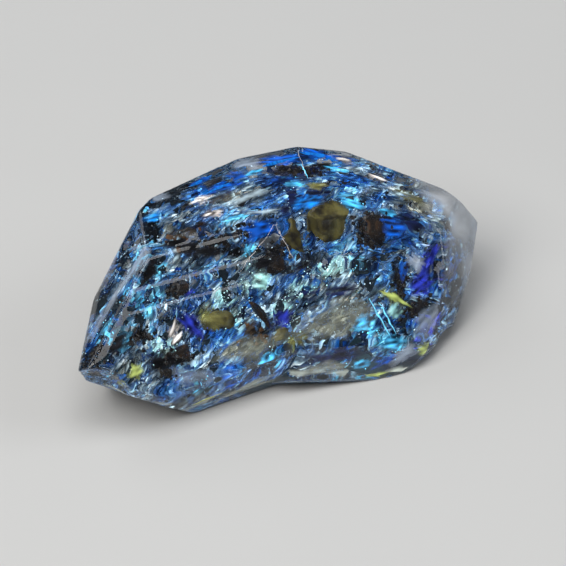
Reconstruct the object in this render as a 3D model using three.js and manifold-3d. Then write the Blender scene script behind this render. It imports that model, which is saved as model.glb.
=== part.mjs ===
// A rough petroleum quartz crystal: a clear, stubby, many-faced quartz with a twin block grown on its lower
// right, growth ledges on its faces, chipped corners, and oil and bitumen sealed inside along a healed crack.
// Millimetres, +Z up, resting on its flat base, with the crystal's length along X.
import * as THREE from "three";
import { mergeVertices } from "three/addons/utils/BufferGeometryUtils.js";
import Module from "manifold-3d";

const wasm = await Module();
wasm.setup();

// Driving dimensions. A face is given as on a crystal drawing: the heading of its outward normal about +Z from
// +X, the normal's elevation above the horizon, both in degrees, and its distance from the crystal's centre.
const FACES = {
  front: { heading: -90, elevation: 44, distance: 3.2 },
  upper_left: { heading: -36, elevation: 88.5, distance: 3.5 },
  upper_right: { heading: -33, elevation: 76.5, distance: 3.7 },
  left: { heading: 162, elevation: 47, distance: 6.4 },
  right: { heading: -45, elevation: 26.5, distance: 7.85 },
  right_low: { heading: -61, elevation: 12.5, distance: 7.4 },
  lower_front: { heading: -87, elevation: -12, distance: 5.2 },
  lower_left: { heading: -124, elevation: -26.5, distance: 8.2 },
  under_left: { heading: -144, elevation: -50, distance: 7.15 },
  back_left: { heading: 102, elevation: 15, distance: 4.75 },
  back: { heading: 84, elevation: 21, distance: 5.3 },
  back_high: { heading: 64, elevation: 30.5, distance: 6.3 },
  back_right: { heading: 40, elevation: 31, distance: 7.35 },
  end_high: { heading: 23, elevation: 27.5, distance: 8.85 },
  end_low: { heading: -5, elevation: -27, distance: 10.25 },
  end_under: { heading: -18, elevation: -36.5, distance: 9.05 },
  side_left: { heading: 124, elevation: -3, distance: 4.75 },
  tip_left: { heading: 143, elevation: -10.5, distance: 6.5 },
  under_back: { heading: 88, elevation: -38, distance: 5.6 },
  under_back_right: { heading: 46, elevation: -40, distance: 7.5 },
  base: { heading: 0, elevation: -90, distance: 3.15 },
};

// The block grown on the lower right: faces of its own, and the crystal's other faces round the back.
const GROWN_FACES = {
  front: { heading: -90, elevation: 44, distance: 3.4 },
  lower: { heading: -97, elevation: 15, distance: 4.95 },
  ledge_left: { heading: -153, elevation: 65, distance: 1.4 },
  ledge_top: { heading: -46, elevation: 74, distance: 2.85 },
  ledge_right: { heading: -58, elevation: 12.5, distance: 7.85 },
  corner: { heading: -66, elevation: -25, distance: 8.5 },
  side: { heading: -145, elevation: 27, distance: 2.45 },
  under: { heading: -113, elevation: -46, distance: 5.5 },
};
const SHARED_FACES = [
  "upper_left", "left", "upper_right", "right", "back_left", "back", "back_high", "back_right",
  "end_high", "end_low", "end_under", "side_left", "under_back", "under_back_right", "base",
];
const GROWN_DRAWN_IN = 0.12; // the grown block stays this far inside the faces that it shares

// Growth ledges: a face grown outward by rise, in a layer that stops short of the face's edges by about inset,
// and lies towards one heading.
const LEDGES = [
  { on: "front", rise: 0.09, inset: 0.55, towards: 150 },
  { on: "front", rise: 0.17, inset: 1.0, towards: 175 },
  { on: "upper_left", rise: 0.1, inset: 0.5, towards: -60 },
  { on: "upper_left", rise: 0.2, inset: 0.95, towards: -75 },
  { on: "upper_left", rise: 0.3, inset: 1.4, towards: -85 },
  { on: "upper_right", rise: 0.1, inset: 0.55, towards: -20 },
  { on: "upper_right", rise: 0.19, inset: 1.05, towards: -40 },
  { on: "left", rise: 0.09, inset: 0.5, towards: 90 },
  { on: "left", rise: 0.17, inset: 0.95, towards: 70 },
  { on: "right", rise: 0.08, inset: 0.6, towards: 60 },
  { on: "lower_front", rise: 0.09, inset: 0.5, towards: -160 },
  { on: "back_left", rise: 0.1, inset: 0.5, towards: 60 },
  { on: "back", rise: 0.12, inset: 0.7, towards: 120 },
  { on: "back_right", rise: 0.11, inset: 0.6, towards: 20 },
  { on: "side_left", rise: 0.1, inset: 0.5, towards: 60 },
  { on: "under_back", rise: 0.1, inset: 0.6, towards: 140 },
];
const LEDGE_LEAN = 0.65; // how much nearer the edge a ledge runs on the side that it lies towards

// Conchoidal chips off corners and edges: a ball of this radius takes a bite of this depth along a direction.
const CHIPS = [
  { heading: -155, elevation: -6, radius: 2.2, depth: 0.3 },
  { heading: 170, elevation: 30, radius: 1.4, depth: 0.08 },
  { heading: 112, elevation: -12, radius: 2.0, depth: 0.2 },
  { heading: 62, elevation: -22, radius: 2.4, depth: 0.25 },
  { heading: -75, elevation: -38, radius: 1.0, depth: 0.18 },
  { heading: -38, elevation: -20, radius: 1.5, depth: 0.15 },
];
const CHIP_DETAIL = 3;

// Small etch pits sunk in the faces, each by heading and elevation from the centre.
const PITS = [
  { heading: -38, elevation: 24, radius: 0.34 },
  { heading: -118, elevation: 30, radius: 0.2 },
  { heading: -70, elevation: 62, radius: 0.22 },
  { heading: 140, elevation: 62, radius: 0.24 },
  { heading: -60, elevation: 22, radius: 0.2 },
  { heading: 70, elevation: 10, radius: 0.3 },
];
const PIT_FLATTEN = 0.6;

// The healed crack: a plane parallel to the front face. The crystal is parted on it, and what the crack sealed
// in lies across it, each piece in a pocket of its own form.
const CRACK = { heading: -90, elevation: 44, distance: 1.75 };
const PARTING_GAP = 0.3;
const POCKET_CLEARANCE = 0.3;

// Sealed pieces: their middle on the crack, along the crystal (+X) and up the slope from the centre, their width,
// height and thickness, and how far they are turned in the plane of the crack.
const OIL_POCKETS = [
  { name: "oil_pocket_large", along: 3.45, up: 1.1, width: 2.3, height: 1.75, thick: 0.9, turn: 5, seed: 1 },
  { name: "oil_pocket_small", along: 1.5, up: 0.75, width: 0.8, height: 1.5, thick: 0.6, turn: 10, seed: 2 },
  { name: "oil_pocket_low", along: -0.6, up: -3.3, width: 1.1, height: 0.7, thick: 0.5, turn: 15, seed: 3 },
  { name: "oil_pocket_left", along: -3.2, up: -1.8, width: 1.4, height: 0.9, thick: 0.5, turn: -20, seed: 4 },
];
const BITUMEN_FLECKS = [
  { name: "bitumen_plate_centre", along: 0.25, up: -0.1, width: 1.1, height: 0.95, thick: 0.4, turn: -10, seed: 5 },
  { name: "bitumen_plate_right", along: 5.55, up: 0.15, width: 1.25, height: 1.45, thick: 0.5, turn: 20, seed: 6 },
  { name: "bitumen_splinter", along: -1.2, up: -2.1, width: 0.42, height: 1.75, thick: 0.4, turn: 24, seed: 7 },
  { name: "bitumen_grain_left", along: -4.7, up: 0.1, width: 0.95, height: 0.7, thick: 0.4, turn: 0, seed: 8 },
  { name: "bitumen_grain_low", along: -5.6, up: -2.75, width: 1.0, height: 0.6, thick: 0.4, turn: 12, seed: 9 },
];
const SEALED_DETAIL = 2;
const SEALED_WANDER = 0.25; // share of a piece's size that its outline wanders
const WALLS = 9; // flat sides of a piece, which filled an angular hollow of the crystal
const WALL_DISTANCE = 0.36; // from the middle of a form about one unit across
const STEEPEST_WALL = 75;
const GOLDEN_ANGLE = 137.5; // spreads the walls evenly

const QUARTZ = { color: 0xcfd9e2, roughness: 0.06, metalness: 0, transparent: true, opacity: 0.35 };
const OIL = { color: 0x8d7d35, roughness: 0.25, metalness: 0 };
const BITUMEN = { color: 0x1d1712, roughness: 0.4, metalness: 0 };

const BLANK_SIDE = 60; // a box that holds the whole crystal, before its faces are cut

// The unit direction of a heading and elevation in degrees.
function direction({ heading, elevation }) {
  const h = THREE.MathUtils.degToRad(heading);
  const e = THREE.MathUtils.degToRad(elevation);
  return new THREE.Vector3(Math.cos(e) * Math.cos(h), Math.cos(e) * Math.sin(h), Math.sin(e));
}

// A closed three.js geometry as a solid that can be joined and cut.
function solidOf(geometry) {
  const bare = geometry.clone();
  bare.deleteAttribute("normal");
  bare.deleteAttribute("uv");
  const merged = mergeVertices(bare, 1e-5);
  return new wasm.Manifold(
    new wasm.Mesh({
      numProp: 3,
      vertProperties: merged.getAttribute("position").array,
      triVerts: new Uint32Array(merged.index.array),
    }),
  );
}

// A solid as a three.js geometry.
function geometryOf(solid) {
  const { vertProperties, triVerts } = solid.getMesh();
  const geometry = new THREE.BufferGeometry();
  geometry.setAttribute("position", new THREE.BufferAttribute(vertProperties, 3));
  geometry.setIndex(new THREE.BufferAttribute(triVerts, 1));
  geometry.computeVertexNormals();
  return geometry;
}

// The part of a solid on the inner side of a face.
function cutAt(solid, face) {
  const inward = direction(face).negate();
  return solid.trimByPlane(inward.toArray(), -face.distance);
}

// The convex block that a set of faces encloses.
function blockOf(faces) {
  const blank = solidOf(new THREE.BoxGeometry(BLANK_SIDE, BLANK_SIDE, BLANK_SIDE));
  return faces.reduce(cutAt, blank);
}

// One growth layer: the crystal with one face grown outward and every other face drawn in, least on the side
// that the layer lies towards.
function ledgeOf({ on, rise, inset, towards }) {
  const faces = Object.entries(FACES).map(([name, face]) => {
    if (name === on) return { ...face, distance: face.distance + rise };
    const apart = THREE.MathUtils.degToRad(face.heading - towards);
    return { ...face, distance: face.distance - inset * (1 - LEDGE_LEAN * Math.cos(apart)) };
  });
  return blockOf(faces);
}

// How far the surface of a solid lies from the centre along a direction.
function reachAlong(surface, ray) {
  const start = ray.clone().multiplyScalar(BLANK_SIDE);
  const [hit] = new THREE.Raycaster(start, ray.clone().negate()).intersectObject(surface);
  return hit.point.length();
}

// The ball whose edge bites a chip out of the surface.
function chipOf(surface, chip) {
  const ray = direction(chip);
  const centre = ray.clone().multiplyScalar(reachAlong(surface, ray) + chip.radius - chip.depth);
  const ball = new THREE.IcosahedronGeometry(chip.radius, CHIP_DETAIL);
  return solidOf(ball.translate(centre.x, centre.y, centre.z));
}

// A flat-sided hollow sunk in the surface.
function pitOf(surface, pit) {
  const ray = direction(pit);
  const centre = ray.clone().multiplyScalar(reachAlong(surface, ray));
  const hollow = new THREE.DodecahedronGeometry(pit.radius);
  hollow.scale(1, PIT_FLATTEN, 1);
  return solidOf(hollow.translate(centre.x, centre.y, centre.z));
}

// Axes of the crack: along the crystal, up its slope, and out towards the front.
const crackOut = direction(CRACK);
const crackAlong = new THREE.Vector3(1, 0, 0);
const crackUp = crackOut.clone().cross(crackAlong).normalize();
const crackAxes = new THREE.Matrix4().makeBasis(crackAlong, crackUp, crackOut);

// A lumpy closed form, one unit across each way: a subdivided icosahedron whose points wander in and out by a sum
// of waves and are then pressed flat against walls on all sides.
function lump(seed) {
  const form = new THREE.IcosahedronGeometry(0.5, SEALED_DETAIL);
  const walls = Array.from({ length: WALLS }, (_, k) =>
    direction({ heading: GOLDEN_ANGLE * (k + seed), elevation: STEEPEST_WALL * (1 - (2 * k) / (WALLS - 1)) }),
  );
  const points = form.getAttribute("position");
  const p = new THREE.Vector3();
  for (let i = 0; i < points.count; i++) {
    p.fromBufferAttribute(points, i);
    const wave = Math.sin(5 * p.x + 2 * seed) + Math.sin(6 * p.y + 3 * seed) + Math.sin(7 * p.x * p.y + seed);
    p.multiplyScalar(1 + (SEALED_WANDER * wave) / 2);
    for (const wall of walls) {
      p.addScaledVector(wall, -Math.max(0, p.dot(wall) - WALL_DISTANCE));
    }
    points.setXYZ(i, p.x, p.y, p.z);
  }
  form.computeBoundingBox();
  const size = form.boundingBox.getSize(new THREE.Vector3());
  return form.scale(1 / size.x, 1 / size.y, 1 / size.z).center();
}

// A sealed piece, or its pocket where grow is the clearance, in place across the crack.
function sealedForm(piece, grow) {
  const form = lump(piece.seed);
  form.scale(piece.width + 2 * grow, piece.height + 2 * grow, piece.thick + 2 * grow);
  form.rotateZ(THREE.MathUtils.degToRad(piece.turn));
  form.translate(piece.along, piece.up, CRACK.distance);
  return form.applyMatrix4(crackAxes);
}

// The whole crystal: the main block, the block grown on it and the ledges, less the chips and pits.
function wholeCrystal() {
  const shared = SHARED_FACES.map((name) => ({
    ...FACES[name],
    distance: name === "base" ? FACES.base.distance : FACES[name].distance - GROWN_DRAWN_IN,
  }));
  const main = blockOf(Object.values(FACES));
  const grown = blockOf([...Object.values(GROWN_FACES), ...shared]);
  const joined = LEDGES.map(ledgeOf).reduce((sum, ledge) => sum.add(ledge), main.add(grown));
  const surface = new THREE.Mesh(geometryOf(joined));
  const chips = CHIPS.map((chip) => chipOf(surface, chip));
  const pits = PITS.map((pit) => pitOf(surface, pit));
  return [...chips, ...pits].reduce((sum, bite) => sum.subtract(bite), joined);
}

// The largest body of a solid, without the crumbs left between pockets that meet.
function mainBody(solid) {
  return solid.decompose().reduce((most, each) => (each.volume() > most.volume() ? each : most));
}

function meshOf(name, geometry, look) {
  const mesh = new THREE.Mesh(geometry, new THREE.MeshStandardMaterial({ ...look, flatShading: true }));
  mesh.name = name;
  return mesh;
}

const crystal = wholeCrystal();
const sealed = [
  ...OIL_POCKETS.map((piece) => ({ piece, look: OIL })),
  ...BITUMEN_FLECKS.map((piece) => ({ piece, look: BITUMEN })),
];
const pockets = sealed
  .map(({ piece }) => solidOf(sealedForm(piece, POCKET_CLEARANCE)))
  .reduce((sum, pocket) => sum.add(pocket));

const behindCrack = { ...CRACK, distance: CRACK.distance - PARTING_GAP / 2 };
const beforeCrack = {
  heading: CRACK.heading + 180,
  elevation: -CRACK.elevation,
  distance: -CRACK.distance - PARTING_GAP / 2,
};
const body = mainBody(cutAt(crystal, behindCrack).subtract(pockets));
const face = mainBody(cutAt(crystal, beforeCrack).subtract(pockets));

const quartz = new THREE.Group();
quartz.add(meshOf("crystal_body", geometryOf(body), QUARTZ));
quartz.add(meshOf("crystal_face", geometryOf(face), QUARTZ));
for (const { piece, look } of sealed) {
  quartz.add(meshOf(piece.name, geometryOf(solidOf(sealedForm(piece, 0))), look));
}

// The origin is on the base, under the middle of the crystal's box.
const box = new THREE.Box3().setFromObject(quartz);
const middle = box.getCenter(new THREE.Vector3());
quartz.position.set(-middle.x, -middle.y, -box.min.z);

export default quartz;
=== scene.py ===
import math
from collections import namedtuple

import bmesh
import bpy
import numpy as np
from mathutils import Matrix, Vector, noise
from mathutils.bvhtree import BVHTree


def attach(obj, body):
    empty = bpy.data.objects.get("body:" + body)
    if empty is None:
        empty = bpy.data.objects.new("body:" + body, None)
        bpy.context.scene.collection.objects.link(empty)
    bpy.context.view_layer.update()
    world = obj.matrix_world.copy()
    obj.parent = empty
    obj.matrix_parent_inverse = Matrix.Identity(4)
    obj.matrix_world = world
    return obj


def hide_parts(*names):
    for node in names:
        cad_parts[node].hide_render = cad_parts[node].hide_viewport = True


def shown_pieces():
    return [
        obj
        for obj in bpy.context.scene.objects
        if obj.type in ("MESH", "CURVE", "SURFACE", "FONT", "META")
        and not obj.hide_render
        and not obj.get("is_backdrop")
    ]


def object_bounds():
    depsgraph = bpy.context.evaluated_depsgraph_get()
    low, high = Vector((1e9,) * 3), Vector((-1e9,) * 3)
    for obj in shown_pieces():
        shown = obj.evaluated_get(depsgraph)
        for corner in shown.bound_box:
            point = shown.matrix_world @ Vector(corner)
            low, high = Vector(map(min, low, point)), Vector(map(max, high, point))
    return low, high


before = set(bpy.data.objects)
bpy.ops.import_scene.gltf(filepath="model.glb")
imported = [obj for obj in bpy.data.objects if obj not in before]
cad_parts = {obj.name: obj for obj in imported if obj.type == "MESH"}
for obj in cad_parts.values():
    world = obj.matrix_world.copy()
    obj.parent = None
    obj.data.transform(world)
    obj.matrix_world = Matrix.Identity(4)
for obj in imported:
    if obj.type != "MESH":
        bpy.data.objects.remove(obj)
cad_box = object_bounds()

# Lengths are in millimetres up to the moment a mesh is made, and pixels are those of the square photograph.
MM = 0.001
PHOTO_SIDE = 566

# The camera stands before the crystal's left, well above it, and far away for a flat perspective.
CAMERA_AZIMUTH = -25
CAMERA_ELEVATION = 40
CAMERA_DISTANCE = 250
CAMERA_AIM = Vector((-0.27, -2.68, 4.65))
VIEW_WIDTH = 26.77
SENSOR_WIDTH = 36
NEAREST_SEEN = 10
UPWARD = Vector((0, 0, 1))

# The clear crystal: its two solids part along the healed crack, which leans back like the front face.
HALVES = ("crystal_body", "crystal_face")
CRACK_LEAN = math.radians(44)
CRACK_OUT = Vector((0, -math.cos(CRACK_LEAN), math.sin(CRACK_LEAN)))
ON_PLANE = 0.002
SAME_POINT = 0.0001
SURFACE_GRAIN = 0.092
WEAR_ROUNDS = 24
WEAR_STRENGTH = 0.5
QUARTZ_IOR = 1.544

# Fine relief of the crystal's skin.
SWELL_SCALE = 2.4
SWELL_HEIGHT = 0.012
STRIPE_SPACING = 0.34
STRIPE_HEIGHT = 0.0014
STRIPE_ACROSS = Vector((0.35, 0.62, 0.7)).normalized()
STRIPE_WANDER = 0.3
BAND_OFFSET = Vector((9, 0, 0))
DIMPLES = 40
DIMPLE_RADIUS = (0.12, 0.34)
DIMPLE_DEPTH = 0.12

# Milky skin: the right end all over, and a breath of it on the other faces and round the base.
MILKY_END = (7.9, 9.7)
MILKY_FOOT = (0.2, 1.5)
MILK_SCALE = 1.1
MILK_BLOTCHES = (0.8, 0.5)
END_FRAY = 0.8
FOOT_FRAY = 0.5
MILK_AT_END = 0.46
MILK_AT_FOOT = 0.05
MILK_ALL_OVER = 0.003

# Healed cracks: crumpled sheets of tiny facets. One lies along the parting, some lie below the faces that
# the photograph shows, at a pixel and a depth, and the others lie at all angles through the crystal.
SHEET_STEPS = (0.23, 0.09)
SHEET_JITTER = 0.35
SHEET_CRUMPLE = 0.05
SHEET_BEND = 0.5
SHEET_BEND_SCALE = 1.8
SHEET_THICKNESS = 0.012
SHEET_DEPTH = 0.3
SHEET_HOLES = 0.0
HOLE_SCALE = 0.7
FINE_HOLES = 0.5
FINER_BY = 2.7
EDGE_RAGGED = 0.5
FOLD_SCALE = 0.34
FOLD_HEIGHT = 0.14
FLOW_RISE = 36
FLOW_STRETCH = 0.72
CRACK_REACH = 10.5
CRACK_HOLES = -0.12
CLEAR_END = 9.2
VEILS = 34
VEIL_RADIUS = (1.0, 3.0)
VEIL_TURN = 0.4
Veil = namedtuple("Veil", "middle radius depth lean rise holes")
FRONT_VEILS = [Veil(*row) for row in (
    ((190, 205), 2.2, 0.6, 0.15, 27, -0.1),
    ((235, 192), 2.4, 0.9, 0.15, 25, -0.15),
    ((285, 178), 2.4, 0.6, 0.15, 8, -0.1),
    ((340, 180), 2.4, 0.8, 0.15, -12, -0.15),
    ((395, 205), 2.4, 0.7, 0.2, -22, -0.1),
    ((365, 171), 2.0, 0.5, 0.15, -20, -0.15),
    ((412, 194), 2.2, 0.5, 0.2, -25, -0.1),
    ((440, 225), 2.2, 0.6, 0.3, -50, -0.1),
    ((230, 215), 2.6, 1.6, 0.2, 20, -0.2),
    ((320, 190), 3.0, 1.6, 0.2, 5, -0.2),
    ((110, 315), 2.4, 0.8, 0.3, 62, 0.2),
    ((170, 340), 3.0, 0.9, 0.5, 40, 0),
    ((250, 350), 2.6, 0.7, 0.4, 25, 0),
    ((350, 350), 3.2, 0.7, 0.4, 20, 0),
    ((395, 362), 1.8, 0.5, 0.3, 25, -0.1),
    ((425, 290), 2.4, 0.8, 0.5, 60, 0),
    ((300, 275), 3.6, 1.0, 0.5, 36, 0),
)]

# Colours in the healed cracks, as the photograph shows them, by family: the pixel in the middle of a cloud,
# half the cloud's length and width in pixels, and its rise to the right in degrees.
Cloud = namedtuple("Cloud", "family middle reach rise")
CLOUD_DEPTH = 3.4
CLOUD_SPREAD = 0.6
CLOUD_FRAY = 0.4
CLOUD_SCATTER = 0.1
CLOUD_EDGE = 0.35
CLOUD_FADE = 0.3
CLOUD_LEAST = 0.12
CLOUD_PLACES = {
    "cobalt": [
        ((235, 176), (9, 9), 0),
        ((283, 160), (24, 6), 8),
        ((320, 158), (20, 5), -8),
        ((262, 224), (17, 7), 12),
        ((306, 200), (16, 9), 25),
        ((341, 350), (9, 8), 0),
        ((215, 188), (24, 6), 27),
        ((394, 228), (14, 12), 0),
    ],
    "azure": [
        ((154, 218), (9, 8), 10),
        ((152, 240), (5, 5), 0),
        ((139, 252), (8, 4), 70),
        ((234, 219), (17, 4), 20),
        ((249, 250), (9, 6), 25),
        ((160, 270), (10, 5), 60),
        ((152, 303), (20, 8), 70),
        ((129, 290), (16, 5), 65),
        ((108, 330), (18, 11), 60),
        ((292, 183), (10, 4), 5),
        ((351, 206), (11, 5), -20),
        ((357, 267), (8, 6), 0),
        ((366, 327), (14, 11), 0),
        ((391, 345), (15, 11), 0),
        ((356, 366), (12, 6), 10),
        ((270, 358), (9, 6), 30),
        ((201, 382), (8, 5), 10),
    ],
    "ultramarine": [
        ((191, 325), (15, 7), -45),
        ((282, 320), (14, 10), 40),
        ((422, 285), (12, 10), 30),
        ((429, 256), (15, 6), 60),
        ((434, 323), (14, 6), 60),
        ((189, 293), (6, 6), 0),
    ],
    "teal": [
        ((260, 275), (11, 10), 0),
        ((246, 287), (7, 5), -60),
        ((225, 300), (13, 9), 0),
        ((300, 290), (16, 9), 20),
        ((330, 268), (18, 8), 10),
        ((165, 348), (14, 10), 0),
        ((236, 316), (12, 9), 0),
        ((290, 330), (14, 8), 20),
    ],
    "beige": [
        ((335, 322), (34, 15), 10),
        ((245, 348), (30, 9), 10),
        ((420, 205), (20, 14), -40),
    ],
    "gold": [
        ((394, 298), (17, 6), -25),
        ((136, 371), (7, 7), 0),
        ((294, 340), (10, 9), 0),
        ((207, 317), (11, 11), 0),
        ((315, 185), (11, 4), 5),
    ],
    "rust": [
        ((204, 231), (5, 4), 30),
        ((197, 275), (3, 3), 0),
        ((178, 240), (9, 7), 20),
        ((255, 331), (10, 9), 0),
    ],
    "tar": [
        ((174, 290), (10, 8), 0),
        ((180, 356), (11, 7), 10),
        ((167, 371), (10, 5), 0),
        ((94, 373), (9, 5), 0),
        ((102, 353), (8, 7), 0),
        ((140, 335), (10, 9), 0),
        ((370, 232), (16, 16), 0),
        ((275, 252), (13, 9), 0),
        ((415, 308), (15, 6), 45),
        ((402, 283), (16, 6), 80),
        ((300, 170), (26, 5), 0),
        ((222, 238), (26, 6), 15),
    ],
    "blush": [
        ((203, 200), (8, 6), 20),
        ((213, 213), (11, 6), 25),
        ((345, 161), (7, 4), -20),
        ((376, 178), (8, 5), -20),
        ((174, 332), (12, 7), 60),
    ],
}
CLOUDS = [Cloud(family, *place) for family, places in CLOUD_PLACES.items() for place in places]

# Each family's colour and painted glow, and how many of its drops or crumbs lie loose to a square pixel of
# a cloud.
Family = namedtuple("Family", "tint glow drops crumbs")
FAMILIES = {
    "cobalt": Family((0.01, 0.2, 0.75), (0.0, 0.05, 0.18), 0.006, 0),
    "azure": Family((0.28, 0.75, 1.0), (0.06, 0.34, 0.5), 0.03, 0),
    "ultramarine": Family((0.06, 0.09, 0.6), (0.012, 0.018, 0.16), 0.006, 0),
    "teal": Family((0.72, 1.0, 0.95), (0.16, 0.34, 0.35), 0.06, 0),
    "beige": Family((0.6, 0.62, 0.52), (0.02, 0.02, 0.015), 0, 0),
    "gold": Family((0.5, 0.52, 0.2), (0.03, 0.035, 0.005), 0.006, 0),
    "rust": Family((0.1, 0.05, 0.022), (0, 0, 0), 0, 0.05),
    "tar": Family((0.012, 0.009, 0.007), (0, 0, 0), 0, 0.12),
    "blush": Family((1.0, 0.93, 0.88), (0.16, 0.13, 0.11), 0, 0),
}

# The plain crumpled sheets: their tints from the darkest facets to the brightest, how a facet's level comes
# about, and the painted sparkle of the brightest. The darkest tints are painted shade between the facets,
# which the shadowless lamps inside don't cast.
SHEET_TINTS = np.array([(0.01, 0.022, 0.05), (0.12, 0.23, 0.37), (0.46, 0.64, 0.78), (0.95, 1.0, 1.0)])
FACET_GRAINS = (0.13, 0.9)
LEVEL_MIDDLE = 0.43
LEVEL_FINE = 0.5
LEVEL_BROAD = 0.65
LEVEL_SCATTER = 0.2
LEAST_TINT = 0.25
GLOW_RISE = 3.4
GLOW_START = 1.3
SAME_DIGITS = 5
SPARKLE_FROM = 0.86
SPARKLE_GLOW = (2.6, 4.2, 5.0)
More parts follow.
